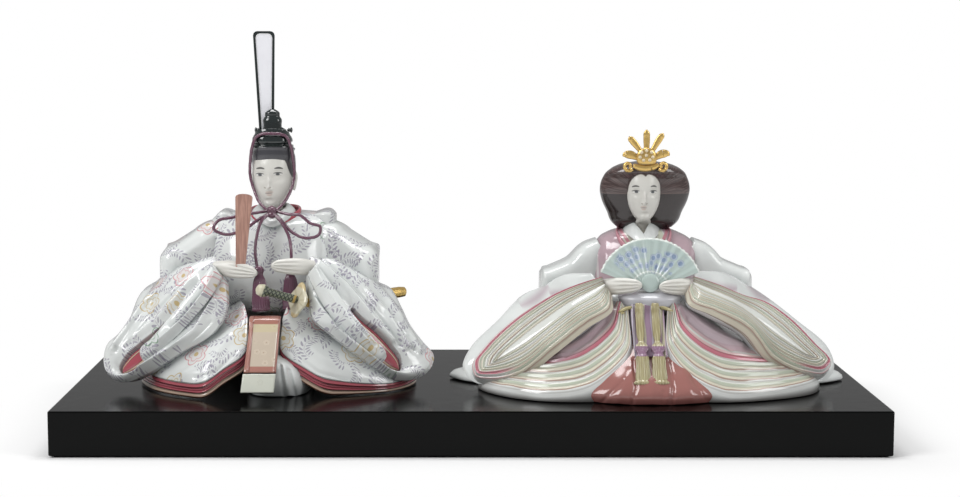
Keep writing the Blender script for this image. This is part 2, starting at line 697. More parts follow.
tongue_left_shares = (
    (-0.42, -0.63, 1.07), (-0.60, -0.73, 0.86), (-0.80, -0.79, 0.61), (-0.96, -0.79, 0.43), (-1.01, -0.78, 0.37),
    (-0.97, -0.79, 0.335), (-0.80, -0.83, 0.45), (-0.62, -0.83, 0.64), (-0.45, -0.77, 0.84), (-0.36, -0.68, 0.98))
tongue_right_shares = (
    (0.42, -0.63, 1.08), (0.58, -0.73, 0.88), (0.78, -0.79, 0.62), (0.94, -0.77, 0.42), (1.01, -0.76, 0.33),
    (0.97, -0.77, 0.29), (0.82, -0.81, 0.42), (0.62, -0.83, 0.62), (0.46, -0.78, 0.84), (0.37, -0.68, 1.00))
sleeve_swell_shares = ((0.0, 0.5), (0.2, 0.9), (0.5, 1.0), (0.8, 0.9), (1.0, 0.6))


def sleeve_set(side, name, outline, spine, mouth, tongue):
    """A hanging sleeve, the coral lining in its mouth and the white inner sleeve's fold over that"""
    facing = unit((side * 0.50, -0.68, 0.52))
    half = loop_steps // 2
    edge, rim = drape_edge(E(outline), loop_steps), drape_edge(E(mouth), loop_steps)
    middle = curve(E(spine), half)
    middle = np.vstack([middle, middle[::-1]])
    stretch = np.interp(np.linspace(0, 1, half), *np.transpose(sleeve_swell_shares))
    stretch = np.concatenate([stretch, stretch[::-1]])[:, None]
    heart = curve(((rim + rim[::-1]) / 2)[2:half - 2], half)
    heart = np.vstack([heart, heart[::-1]])
    rings = [middle + (edge - middle) * share - facing * height * sleeve_back * stretch
             for share, height in ((0.25, 1.0), (0.80, 0.75))]
    rings.append(edge)
    rings += [rim + (edge - rim) * share + facing * height * sleeve_swell * stretch
              for share, height in ((0.86, 0.36), (0.50, 0.62), (0.16, 0.36))]
    rings += [rim] + [rim + (heart - rim) * times * mouth_slope_share - facing * mouth_depth for times in (1, 6)]
    outer = skin("emperor_sleeve_" + name, rings, robe_white, caps="zip")
    lift = facing * (seat_gap - mouth_depth)
    lining = skin("emperor_sleeve_lining_" + name, [
        rim + (heart - rim) * times * mouth_slope_share + lift + facing * rise * lining_swell
        for times, rise in ((6, 0.0), (2, 0.0), (2, 1.0), (6, 0.9))], coral, caps="zip")
    fold = leaf("emperor_inner_sleeve_" + name, E(tongue), None, facing,
                ((0.8, 0.7 * tongue_swell), (0.3, tongue_swell)),
                ((0.8, 0.5 * tongue_swell), (0.3, 0.6 * tongue_swell)), porcelain, count=20)
    return outer, lining, fold


sleeves = [sleeve_set(-1, "left", sleeve_left_shares, spine_left_shares, mouth_left_shares, tongue_left_shares),
           sleeve_set(1, "right", sleeve_right_shares, spine_right_shares, mouth_right_shares, tongue_right_shares)]

skirt_left_shares = (
    (-0.135, -0.71, 0.60), (-0.155, -0.87, 0.365), (-0.33, -0.95, 0.245), (-0.48, -1.01, 0.15), (-0.53, -0.99, 0.135),
    (-0.66, -0.91, 0.125), (-0.85, -0.76, 0.13), (-1.02, -0.52, 0.14), (-1.10, -0.18, 0.15), (-0.98, 0.0, 0.18),
    (-0.70, 0.06, 0.32), (-0.28, -0.08, 0.60))
skirt_right_shares = (
    (0.145, -0.66, 0.60), (0.15, -0.80, 0.37), (0.33, -0.86, 0.25), (0.52, -0.88, 0.155), (0.58, -0.86, 0.14),
    (0.80, -0.80, 0.10), (1.05, -0.68, 0.075), (1.22, -0.45, 0.09), (1.26, -0.20, 0.12), (1.08, 0.0, 0.16),
    (0.75, 0.06, 0.32), (0.30, -0.08, 0.60))
skirt_left_spine_shares = ((-0.23, -0.42, 0.53), (-0.50, -0.44, 0.36), (-0.75, -0.35, 0.23))
skirt_right_spine_shares = ((0.25, -0.40, 0.53), (0.56, -0.41, 0.35), (0.90, -0.30, 0.21))


def skirt_set(side, name, outline, spine):
    """One knee of the outer robe, domed from its hem, over a stepped stack of under robe hems"""
    lobe = leaf("emperor_skirt_" + name, E(outline), E(spine), (0.0, -0.25, 1.0),
                ((0.97, 0.12 * skirt_swell), (0.82, 0.42 * skirt_swell), (0.55, 0.85 * skirt_swell),
                 (0.2, skirt_swell)),
                ((0.96, 0.06 * skirt_swell), (0.3, 0.1 * skirt_swell)), robe_white)
    edge = drape_edge(E(outline), loop_steps)
    half = loop_steps // 2
    middle = curve(E(spine), half)
    middle = np.vstack([middle, middle[::-1]])
    inward = middle - edge
    inward /= np.linalg.norm(inward, axis=1)[:, None]
    band = np.minimum(hem_band, edge[:, 2] - 2 * seat_gap)[:, None]
    rings = [edge + inward * 4 * hem_step - up * seat_gap]
    for drop, step in ((0.06, 0.5), (0.28, 0.4), (0.36, 0.9), (0.44, 0.2), (0.60, 0.1), (0.68, 0.6), (0.76, -0.1),
                       (1.0, -0.2)):
        rings.append(edge + inward * step * hem_step - up * drop * band)
    rings.append(edge + inward * 5 * hem_step - up * band)
    hems = skin("emperor_hem_" + name, rings, coral, caps="zip")
    return lobe, hems


skirts = [skirt_set(-1, "left", skirt_left_shares, skirt_left_spine_shares),
          skirt_set(1, "right", skirt_right_shares, skirt_right_spine_shares)]

emperor_hakama_shares = (
    (0.0, -0.42, 0.002, 0.46, 0.54, 2.5), (0.0, -0.44, 0.10, 0.48, 0.60, 2.5), (0.0, -0.44, 0.20, 0.44, 0.60, 2.5),
    (0.0, -0.42, 0.29, 0.28, 0.55, 2.6), (0.0, -0.41, 0.35, 0.12, 0.51, 3.0), (0.0, -0.38, 0.50, 0.11, 0.42, 3.0))
hakama = column("emperor_hakama", emperor, emperor_hakama_shares, porcelain)

apron_shares = (   # left x, right x, y and z down the front, as shares of the emperor's sizes
    (-0.125, 0.139, -0.70, 0.655), (-0.125, 0.139, -0.755, 0.640), (-0.122, 0.137, -0.82, 0.56),
    (-0.135, 0.129, -0.93, 0.39), (-0.148, 0.121, -1.04, 0.235))
apron_end_shares = ((-0.156, 0.118, -1.05, 0.22), (-0.172, 0.104, -1.10, 0.075))


def band_rows(doll, shares):
    elbow, knee, wrist = doll.sizes
    return [(left * elbow, right * elbow, y * knee, z * wrist) for left, right, y, z in shares]


apron = strip("emperor_apron", band_rows(emperor, apron_shares), apron_thickness, tan, (apron_frame, apron_recess))
apron_end = strip("emperor_apron_end", band_rows(emperor, apron_end_shares), apron_end_thickness, porcelain)

# Emperor's head, hat and what is tied to it
emperor_chin_shares = (0.028, 0.0, 1.52)
emperor_turn = math.radians(-7)
chin = E(emperor_chin_shares)
emperor_head = head("emperor_head", chin, emperor_face_height, emperor_face_width, emperor_face_depth,
                    emperor_turn, (1, -1))
hair_rows_shares = (
    (0.30, 0.34, 0.13, 0.30), (0.36, 0.24, 0.24, 0.42), (0.50, 0.18, 0.34, 0.50), (0.68, 0.14, 0.40, 0.525),
    (0.80, 0.08, 0.42, 0.52), (0.91, 0.01, 0.46, 0.49), (1.0, 0.0, 0.44, 0.42), (1.07, 0.0, 0.30, 0.30))
hair_rows = [(chin[0], chin[1] + back * emperor_face_depth, chin[2] + rise * emperor_face_height,
              half * emperor_face_width, deep * emperor_face_depth, 2.3) for rise, back, deep, half in hair_rows_shares]
emperor_hair = tube("emperor_hair", hair_rows, hair_grey, count=20)

hat_rows_shares = (   # height, middle's depth, half width, half depth
    (0.0, 0.02, 0.48, 0.50), (0.05, 0.02, 0.50, 0.52), (0.30, 0.02, 0.50, 0.52), (0.36, 0.02, 0.47, 0.49),
    (0.80, 0.03, 0.48, 0.47), (0.95, 0.04, 0.43, 0.42), (1.0, 0.05, 0.33, 0.33))
hat_foot = chin + up * 0.94 * emperor_face_height
hat_rows = [(hat_foot[0], hat_foot[1] + middle * hat_depth, hat_foot[2] + rise * hat_height,
             half * hat_width, deep * hat_depth, 2.6) for rise, middle, half, deep in hat_rows_shares]
hat = tube("emperor_hat", hat_rows, hat_black, count=16)
hat_top = hat_foot + up * hat_height
knob_shares = ((-0.25, 0.5, 0.5), (0.0, 0.5, 0.5), (0.35, 0.50, 0.48), (0.70, 0.46, 0.42), (0.90, 0.34, 0.32),
               (1.0, 0.14, 0.16))
knob_back = 0.13 * hat_depth
knob_rows = [(hat_top[0] - 0.06 * knob_width, hat_top[1] + knob_back, hat_top[2] + rise * knob_height,
              half * knob_width, deep * knob_depth, 2.5) for rise, half, deep in knob_shares]
hat = joined(hat, tube("knob", knob_rows, hat_black, count=12))
pin_rise = 0.16 * knob_height
pin_rows = [(hat_top[0] + share * pin_length / 2, hat_top[1] + 0.8 * knob_back, hat_top[2] + pin_rise, radius, radius,
             2.0)
            for share, radius in ((-1.0, 0.4 * pin_end_radius), (-0.97, pin_end_radius), (-0.86, pin_end_radius),
                                  (-0.80, pin_radius), (0.80, pin_radius), (0.86, pin_end_radius),
                                  (0.97, pin_end_radius), (1.0, 0.4 * pin_end_radius))]
hat_pin = tube("emperor_hat_pin", pin_rows, hat_black, wide=(0.0, 0.0, 1.0), count=8)

# The hat's upright tail, a gauze panel in a lacquered frame, stands in a socket behind the knob
tail_lean_share = -0.02
tail_foot = hat_top + np.array((-0.55 * tail_foot_width, 0.42 * hat_depth, -tail_socket))


def tail_outline(inset, foot):
    """The tail's outline, wider at its top, with round top corners"""
    half_foot = tail_foot_width / 2 - inset
    half_top = tail_width / 2 - inset
    corner = 0.20 * tail_width
    top = tail_socket + tail_length - inset
    points = [(-half_foot, foot), (half_foot, foot)]
    for turn in np.linspace(0.0, math.pi / 2, 4):
        points.append((half_top - corner + corner * math.cos(turn), top - corner + corner * math.sin(turn)))
    for turn in np.linspace(math.pi / 2, math.pi, 4):
        points.append((-half_top + corner + corner * math.cos(turn), top - corner + corner * math.sin(turn)))
    return points


def hat_tail():
    over = (tail_lean_share, 0.0, 1.0)
    across = (1.0, 0.0, 0.0)
    frame = plate("hat_tail_frame", tail_outline(0.0, 0.0), across, over, tail_bar, hat_black, tail_foot, tail_foot)
    hole = plate("hole", tail_outline(tail_bar, 1.4 * tail_socket), across, over, 3 * tail_bar, hat_black,
                 tail_foot, tail_foot)
    cut(frame, hole)
    panel = plate("hat_tail_panel", tail_outline(tail_bar + seat_gap, 1.4 * tail_socket + seat_gap),
                  across, over, tail_panel_thickness, tail_gauze, tail_foot, tail_foot)
    return frame, panel


tail_frame, tail_panel = hat_tail()
cord_loop_shares = (   # round the face and over the front of the hat, as shares of the emperor's sizes
    (0.035, -0.325, 1.495), (-0.06, -0.25, 1.55), (-0.125, -0.16, 1.66), (-0.165, -0.12, 1.80), (-0.16, -0.13, 1.93),
    (-0.145, -0.16, 2.04), (-0.12, -0.14, 2.13), (-0.05, -0.12, 2.18), (0.04, -0.12, 2.18), (0.12, -0.13, 2.155),
    (0.185, -0.14, 2.06), (0.205, -0.12, 1.93), (0.215, -0.11, 1.79), (0.185, -0.15, 1.66), (0.12, -0.23, 1.55))


def cord(name, shares, closed, count, material=plum, radius=cord_radius):
    path = curve(E(shares), count, closed)
    rows = [(*point, radius, radius, 2.0) for point in path]
    return tube(name, rows, material, wide=(0.05, 1.0, 0.1), count=5, hoop=closed)


hat_cord = cord("emperor_hat_cord", cord_loop_shares, True, 24)
bow_left_shares = ((0.03, -0.33, 1.50), (-0.10, -0.37, 1.49), (-0.28, -0.44, 1.46), (-0.42, -0.475, 1.42),
                   (-0.445, -0.48, 1.37), (-0.36, -0.48, 1.32), (-0.22, -0.46, 1.34), (-0.08, -0.40, 1.43))
bow_right_shares = ((0.05, -0.33, 1.50), (0.18, -0.38, 1.48), (0.28, -0.41, 1.475), (0.37, -0.44, 1.41),
                    (0.46, -0.46, 1.375), (0.45, -0.47, 1.32), (0.34, -0.47, 1.285), (0.22, -0.44, 1.33),
                    (0.12, -0.38, 1.43))
bow_tail_left_shares = ((0.03, -0.36, 1.49), (-0.04, -0.42, 1.43), (-0.08, -0.47, 1.30), (-0.09, -0.52, 1.15),
                        (-0.07, -0.57, 1.05))
bow_tail_right_shares = ((0.05, -0.36, 1.49), (0.12, -0.42, 1.42), (0.19, -0.47, 1.30), (0.215, -0.52, 1.15),
                         (0.205, -0.53, 1.05))
knot_shares = ((0.04, -0.36, 1.55, 0.2), (0.04, -0.36, 1.54, 0.8), (0.04, -0.355, 1.495, 1.1), (0.04, -0.36, 1.45, 0.8),
               (0.04, -0.36, 1.44, 0.2))
knot_radius = 0.0034
bow = tube("emperor_bow", [(*E((x, y, z)), share * knot_radius, share * knot_radius, 2.0)
                           for x, y, z, share in knot_shares], plum, count=8)
bow = joined(bow, cord("bow_left", bow_left_shares, True, 12), cord("bow_right", bow_right_shares, True, 13),
             cord("bow_tail_left", bow_tail_left_shares, False, 6),
             cord("bow_tail_right", bow_tail_right_shares, False, 6))

tassel_rows_shares = ((0.0, 0.12), (0.03, 0.22), (0.12, 0.30), (0.18, 0.24), (0.30, 0.34), (0.60, 0.46),
                      (0.88, 0.50), (0.97, 0.44), (1.0, 0.20))
tassel_left_top_shares = (-0.055, -0.60, 1.065)
tassel_right_top_shares = (0.205, -0.545, 1.065)


def tassel(name, top, lean, forward):
    rows = [(*(top + np.array((lean, -forward, -1.0)) * along * tassel_length), half * tassel_width,
             0.8 * half * tassel_width, 2.2) for along, half in tassel_rows_shares]
    return tube(name, rows, plum, count=12)


tassels = [tassel("emperor_tassel_left", E(tassel_left_top_shares), 0.06, 0.12),
           tassel("emperor_tassel_right", E(tassel_right_top_shares), 0.03, 0.02)]

collar_white_shares = ((0.03, 0.17, 1.50), (-0.10, 0.11, 1.50), (-0.145, -0.02, 1.475), (-0.09, -0.17, 1.44),
                       (0.03, -0.27, 1.39), (0.15, -0.17, 1.44), (0.205, -0.02, 1.475), (0.16, 0.11, 1.50))
collar_coral_shares = ((0.03, 0.22, 1.485), (-0.15, 0.14, 1.48), (-0.19, -0.04, 1.455), (-0.12, -0.19, 1.43),
                       (0.03, -0.285, 1.39), (0.19, -0.20, 1.435), (0.26, -0.04, 1.465), (0.21, 0.14, 1.485))
collar_height = 0.0062
collar_thickness = 0.0030


def collar(name, doll, shares, material, height=collar_height, thickness=collar_thickness):
    """A flat band that goes round the neck and meets low on the chest"""
    path = curve(doll.at(shares), 16, closed=True)
    along = np.roll(path, -1, axis=0) - np.roll(path, 1, axis=0)
    centre = path.mean(axis=0)
    rings = []
    for point, direction in zip(path, along):
        outward = unit((point - centre) * (1.0, 1.0, 0.0))
        over = unit(np.cross(outward, direction))
        outward = unit(np.cross(direction, over))
        rings.append(oval(point, over, outward, height / 2, thickness / 2, 2.4, 6))
    return skin(name, rings, material, hoop=True)


emperor_collar_white = collar("emperor_collar_white", emperor, collar_white_shares, porcelain)
emperor_collar_coral = collar("emperor_collar_coral", emperor, collar_coral_shares, coral)

# Emperor's hands and the baton in the left one
emperor_wrist_left_shares = (-0.40, -0.58, 1.045)
emperor_tip_left_shares = (-0.055, -0.70, 1.03)
emperor_wrist_right_shares = (0.40, -0.58, 1.05)
emperor_tip_right_shares = (0.08, -0.69, 1.075)
emperor_hands = [hand("emperor_hand_left", E(emperor_wrist_left_shares), E(emperor_tip_left_shares), 0.12),
                 hand("emperor_hand_right", E(emperor_wrist_right_shares), E(emperor_tip_right_shares), 0.0)]
baton_foot_shares = (-0.203, -0.655, 1.035)
baton_lean_share = 0.055
baton_back_share = 0.05


def baton_board():
    foot = E(baton_foot_shares)
    half_foot, half_head = baton_foot_width / 2, baton_head_width / 2
    corner = 0.8 * half_head
    points = [(-half_foot, 0.0), (half_foot, 0.0)]
    for turn in np.linspace(0.0, math.pi / 2, 4):
        points.append((half_head - corner + corner * math.cos(turn),
                       baton_length - corner / 2 + corner / 2 * math.sin(turn)))
    for turn in np.linspace(math.pi / 2, math.pi, 4):
        points.append((-half_head + corner + corner * math.cos(turn),
                       baton_length - corner / 2 + corner / 2 * math.sin(turn)))
    over = unit((baton_lean_share, baton_back_share, 1.0))
    return plate("baton", points, (1.0, 0.0, -baton_lean_share), over, baton_thickness, rosewood, foot, origin=foot)


baton = baton_board()
baton_holder = emperor.holder("baton_slide", E(baton_foot_shares))

# Sword: hilt with pommel, guard, and the scabbard's mouth, which plugs into the robe
guard_shares = (0.285, -0.74, 0.792)
pommel_shares = (-0.031, -0.98, 0.917)
sword_place = E(guard_shares)
sword_axis = unit(E(pommel_shares) - E(guard_shares))
sword_wide = (0.25, 0.0, 1.0)


def along_sword(rows, name, material, count, origin):
    """A turned piece on the sword's axis; a row is how far along it is, its half height and its half thickness"""
    return tube(name, [(*(sword_place + sword_axis * place), tall, thick, 2.2) for place, tall, thick in rows],
                material, wide=sword_wide, count=count, origin=origin)


half_guard = guard_thickness / 2
hilt_start = half_guard + seat_gap
hilt_end = hilt_start + hilt_length
sword_hilt = along_sword(
    [(hilt_start, 0.46 * hilt_height, 0.46 * hilt_thickness), (hilt_start + 0.1 * hilt_length, 0.5 * hilt_height,
     0.5 * hilt_thickness), (hilt_start + 0.5 * hilt_length, 0.46 * hilt_height, 0.46 * hilt_thickness),
     (hilt_end - pommel_length, 0.5 * hilt_height, 0.5 * hilt_thickness),
     (hilt_end - 0.98 * pommel_length, 0.46 * pommel_width, 0.44 * pommel_width),
     (hilt_end - 0.6 * pommel_length, 0.5 * pommel_width, 0.48 * pommel_width),
     (hilt_end - 0.2 * pommel_length, 0.42 * pommel_width, 0.40 * pommel_width),
     (hilt_end, 0.20 * pommel_width, 0.20 * pommel_width)], "sword_hilt", grip_green, 12, sword_place)


def lobed_guard():
    """A four lobed disc square to the hilt"""
    across = unit(np.cross(sword_axis, up))
    over = unit(np.cross(across, sword_axis))
    rings = []
    for place, share in ((-half_guard, 0.86), (-0.5 * half_guard, 1.0), (0.5 * half_guard, 1.0), (half_guard, 0.86)):
        turns = np.linspace(0.0, 2 * math.pi, 24, endpoint=False)
        radius = guard_radius * share * (1 + guard_lobe_share * np.cos(4 * turns))
        rings.append(sword_place + sword_axis * place + (radius * np.cos(turns) * 0.86)[:, None] * across
                     + (radius * np.sin(turns))[:, None] * over)
    return skin("sword_guard", rings, cream, origin=sword_place)


sword_guard = lobed_guard()
peg_start = -half_guard - seat_gap
sword_scabbard = along_sword(
    [(peg_start - scabbard_peg, 0.42 * scabbard_height, 0.42 * scabbard_thickness),
     (peg_start - 0.95 * scabbard_peg, 0.48 * scabbard_height, 0.48 * scabbard_thickness),
     (peg_start - 0.3 * scabbard_peg, 0.5 * scabbard_height, 0.5 * scabbard_thickness),
     (peg_start, 0.56 * scabbard_height, 0.56 * scabbard_thickness)], "sword_scabbard", gold, 12, sword_place)
sword_holder = emperor.holder("sword_draw", sword_place)

scabbard_end_tip_shares = (1.165, 0.46, 0.70)
scabbard_end_direction = unit((0.84, 0.54, 0.02))
scabbard_end_shares = ((1.0, 0.30), (0.98, 0.46), (0.90, 0.52), (0.78, 0.50), (0.74, 0.40), (0.0, 0.40))
end_tip = E(scabbard_end_tip_shares)
scabbard_end = tube("scabbard_end", [
    (*(end_tip - scabbard_end_direction * (1 - place) * scabbard_end_length), half * scabbard_end_width,
     0.8 * half * scabbard_end_width, 2.2) for place, half in scabbard_end_shares], gold, wide=(0.0, 0.0, 1.0), count=12)


# The emperor's pieces, from those that keep their shape to those that give way to them
tail_holder = emperor.holder("hat_tail_lift", tail_foot)
loose = {tail_frame: tail_holder, tail_panel: tail_holder, baton: baton_holder, sword_hilt: sword_holder,
         sword_guard: sword_holder, sword_scabbard: sword_holder}
inner_folds = [pieces[2] for pieces in sleeves]
linings = [pieces[1] for pieces in sleeves]
outer_sleeves = [pieces[0] for pieces in sleeves]
lobes = [pieces[0] for pieces in skirts]
hems = [pieces[1] for pieces in skirts]


def casting_hollow(body, doll, middle):
    """The hollow that slip casting leaves, open under the robe body"""
    rows = [(*(doll.at(middle) + up * rise), wide / 2, wide / 2, 2.0) for rise, wide in (
        (-4 * seat_gap, casting_bore), (0.75 * casting_depth, 0.86 * casting_bore),
        (0.93 * casting_depth, 0.6 * casting_bore), (casting_depth, 0.2 * casting_bore))]
    cutter = tube("hollow", rows, porcelain, count=16)
    cutter.parent = body.parent
    cut(body, cutter)


def assemble(doll, pieces, loose_pieces, body, hollow_middle):
    for piece in pieces:
        doll.add(piece, loose_pieces.get(piece))
    casting_hollow(body, doll, hollow_middle)
    seat(pieces)
    lighten(pieces, [piece for piece in pieces if piece in loose_pieces or piece.active_material == skin_white])


assemble(emperor, [tail_frame, tail_panel, baton, sword_hilt, sword_guard, sword_scabbard, *emperor_hands, bow,
                   hat_cord, *tassels, hat_pin, hat, emperor_hair, emperor_head, emperor_collar_white,
                   emperor_collar_coral, *inner_folds, *linings, *outer_sleeves, apron, apron_end, *lobes, *hems,
                   *upper_arms, scabbard_end, hakama, robe], loose, robe, (0.04, 0.40, 0.0))


# Empress
empress = Doll("empress", empress_side, empress_elbow, empress_knee, empress_wrist)
P = empress.at

empress_body_shares = (
    (0.05, 0.10, 0.002, 1.00, 0.62, 2.4), (0.05, 0.10, 0.12, 1.02, 0.64, 2.4), (0.05, 0.08, 0.34, 0.90, 0.56, 2.4),
    (0.04, 0.02, 0.60, 0.62, 0.47, 2.4), (0.03, -0.02, 0.78, 0.50, 0.40, 2.4), (0.03, -0.03, 0.838, 0.46, 0.36, 2.4))
vest_shares = (
    (0.035, -0.03, 0.842, 0.455, 0.36, 2.6), (0.035, -0.02, 1.02, 0.455, 0.34, 2.6), (0.04, 0.0, 1.20, 0.445, 0.30, 2.6),
    (0.04, 0.02, 1.29, 0.39, 0.26, 2.5), (0.03, 0.03, 1.345, 0.29, 0.22, 2.4), (0.03, 0.03, 1.385, 0.17, 0.16, 2.2))
empress_robe = column("empress_robe_body", empress, empress_body_shares, robe_white)
vest = column("empress_vest", empress, vest_shares, mauve)

empress_middle_share = 0.045
empress_arm_shares = (   # out from the middle: x, y, z, half depth, half height
    (0.33, 0.02, 1.01, 0.18, 0.17), (0.42, 0.02, 1.00, 0.21, 0.225), (0.62, 0.02, 0.925, 0.23, 0.20),
    (0.80, 0.0, 0.865, 0.22, 0.165), (0.895, 0.0, 0.848, 0.20, 0.135), (0.915, 0.0, 0.848, 0.16, 0.115))
mantle_left_shares = (
    (-0.45, -0.45, 0.98), (-0.66, -0.35, 0.96), (-0.86, -0.18, 0.83), (-1.046, -0.08, 0.72), (-1.24, -0.18, 0.54),
    (-1.49, -0.28, 0.30), (-1.55, -0.45, 0.17), (-1.45, -0.62, 0.07), (-1.31, -0.68, 0.06), (-1.08, -0.78, 0.12),
    (-0.79, -0.84, 0.36), (-0.50, -0.82, 0.58), (-0.34, -0.76, 0.70), (-0.34, -0.64, 0.82))
mantle_right_shares = (
    (0.42, -0.46, 1.00), (0.66, -0.36, 0.98), (0.92, -0.20, 0.85), (1.13, -0.08, 0.71), (1.35, -0.18, 0.54),
    (1.61, -0.28, 0.31), (1.63, -0.45, 0.17), (1.53, -0.60, 0.09), (1.31, -0.68, 0.10), (1.04, -0.76, 0.22),
    (0.78, -0.82, 0.53), (0.50, -0.81, 0.68), (0.36, -0.76, 0.76), (0.36, -0.64, 0.84))
banded_left_shares = (
    (-0.36, -0.57, 0.95), (-0.60, -0.53, 0.86), (-0.875, -0.48, 0.71), (-1.17, -0.44, 0.50), (-1.40, -0.47, 0.27),
    (-1.47, -0.52, 0.17), (-1.44, -0.61, 0.08), (-1.31, -0.69, 0.06), (-1.08, -0.80, 0.115), (-0.79, -0.90, 0.36),
    (-0.50, -0.88, 0.59), (-0.31, -0.81, 0.71), (-0.30, -0.68, 0.82))
banded_right_shares = (
    (0.36, -0.57, 0.95), (0.58, -0.53, 0.86), (0.77, -0.50, 0.765), (1.0, -0.46, 0.705), (1.21, -0.46, 0.57),
    (1.44, -0.48, 0.34), (1.57, -0.52, 0.19), (1.50, -0.60, 0.10), (1.31, -0.69, 0.115), (1.04, -0.78, 0.235),
    (0.78, -0.87, 0.54), (0.50, -0.86, 0.69), (0.33, -0.81, 0.76), (0.32, -0.68, 0.84))
banded_left_spine_shares = ((-0.33, -0.62, 0.88), (-0.75, -0.68, 0.60), (-1.20, -0.66, 0.26))
banded_right_spine_shares = ((0.35, -0.62, 0.90), (0.80, -0.68, 0.66), (1.30, -0.66, 0.28))
band_edges_shares = (0.78, 0.58, 0.38)   # where one sleeve's edge ends and the next one inside it begins


def empress_sleeve_set(side, name, mantle, outline, spine):
    """The mantle's arm and hanging sleeve in one casting, and the stack of inner sleeves nested in its mouth"""
    rows = [(*P((empress_middle_share + side * x, y, z)), deep * empress_knee, tall * empress_wrist, 4.2)
            for x, y, z, deep, tall in empress_arm_shares]
    arm = tube("arm", rows, robe_white, wide=(0.0, 1.0, 0.0), count=14)
    hanging = leaf("empress_mantle_" + name, P(mantle), None, (side * 0.4, -0.75, 0.52),
                   ((0.9, 0.5 * mantle_swell), (0.4, mantle_swell)),
                   ((0.85, 0.7 * mantle_back), (0.3, mantle_back)), robe_white)
    hanging = joined(hanging, arm)
    front = [(0.94, 0.6 * banded_swell), (0.82, banded_swell)]
    for index, share in enumerate(band_edges_shares):
        front += [(share, banded_swell - index * band_step), (share - 0.02, banded_swell - (index + 1) * band_step)]
    front.append((0.12, banded_swell - len(band_edges_shares) * band_step))
    nested = leaf("empress_sleeve_" + name, P(outline), P(spine), (side * 0.4, -0.75, 0.52), front,
                  ((0.85, 0.6 * banded_back), (0.3, banded_back)), banded, swell=((0.0, 0.6), (0.3, 1.0), (1.0, 0.8)))
    return hanging, nested


empress_sleeves = [
    empress_sleeve_set(-1, "left", mantle_left_shares, banded_left_shares, banded_left_spine_shares),
    empress_sleeve_set(1, "right", mantle_right_shares, banded_right_shares, banded_right_spine_shares)]

empress_skirt_left_shares = (
    (-0.165, -0.76, 0.69), (-0.186, -1.00, 0.349), (-0.342, -1.10, 0.208), (-0.517, -1.14, 0.10),
    (-0.868, -1.12, 0.04), (-1.166, -0.95, 0.05), (-1.42, -0.5, 0.05), (-1.2, 0.0, 0.1), (-0.45, -0.22, 0.60))
empress_skirt_right_shares = (
    (0.15, -0.76, 0.69), (0.136, -1.00, 0.366), (0.321, -1.12, 0.166), (0.555, -1.16, 0.061),
    (0.993, -1.05, 0.048), (1.408, -0.75, 0.075), (1.50, -0.35, 0.07), (1.2, 0.0, 0.1), (0.45, -0.22, 0.60))
empress_skirt_left_spine_shares = ((-0.29, -0.51, 0.63), (-0.62, -0.55, 0.38), (-1.0, -0.48, 0.16))
empress_skirt_right_spine_shares = ((0.28, -0.51, 0.63), (0.66, -0.55, 0.38), (1.08, -0.48, 0.17))
skirt_foot_share = 0.004   # how high the skirts' undersides are, as a share of the wrist's height


def empress_skirt(name, outline, spine):
    """One side of the robe's front, spread over the knee, its hem standing on the board"""
    edge = drape_edge(P(outline), loop_steps)
    half = loop_steps // 2
    middle = curve(P(spine), half)
    middle = np.vstack([middle, middle[::-1]])
    foot = edge * (1.0, 1.0, 0.0) + up * skirt_foot_share * empress_wrist
    facing = unit((0.0, -0.5, 0.85))
    rings = [foot + (middle - edge) * (1.0, 1.0, 0.0) * 0.06, foot]
    rings += [middle + (edge - middle) * share + facing * height * band_skirt_swell
              for share, height in ((1.0, 0.0), (0.95, 0.22), (0.80, 0.42), (0.76, 0.56), (0.50, 0.85), (0.15, 1.0))]
    return skin("empress_skirt_" + name, rings, robe_white, caps="zip")


empress_skirts = [empress_skirt("left", empress_skirt_left_shares, empress_skirt_left_spine_shares),
                  empress_skirt("right", empress_skirt_right_shares, empress_skirt_right_spine_shares)]

empress_hakama_shares = (
    (0.0, -0.72, 0.002, 0.70, 0.54, 2.3), (0.0, -0.72, 0.06, 0.73, 0.555, 2.3), (0.0, -0.72, 0.18, 0.66, 0.51, 2.3),
    (0.0, -0.68, 0.32, 0.50, 0.42, 2.3), (0.0, -0.64, 0.45, 0.34, 0.34, 2.3), (0.0, -0.62, 0.56, 0.26, 0.26, 2.3))
empress_hakama = column("empress_hakama", empress, empress_hakama_shares, coral_hakama, count=32, folds=8,
                        fold_rise=0.7)

train_shares = (
    (-1.66, -0.02), (-1.50, -0.24), (-1.20, -0.36), (0.0, -0.40), (1.20, -0.42), (1.62, -0.28), (1.78, -0.11),
    (1.66, 0.14), (1.35, 0.38), (0.70, 0.74), (0.0, 0.86), (-0.60, 0.76), (-1.25, 0.42), (-1.55, 0.18))
train_rows_shares = (   # inwards from the outline, and height
    (0.03, 0.004), (0.0, 0.012), (0.01, 0.035), (0.08, 0.060), (0.40, 0.085))


def train():
    """The trailing hem of the robe, flat on the board"""
    edge = drape_edge(np.array([(x, y, 0.0) for x, y in train_shares]) * empress.sizes, 32)
    middle = edge * (1.0, 0.0, 0.0) + np.mean(edge, axis=0) * (0.0, 1.0, 0.0)
    middle[:, 0] *= 0.8
    rings = [edge + (middle - edge) * inward + up * rise * empress_wrist for inward, rise in train_rows_shares]
    return skin("empress_train", rings, robe_white, caps="zip")


empress_train = train()

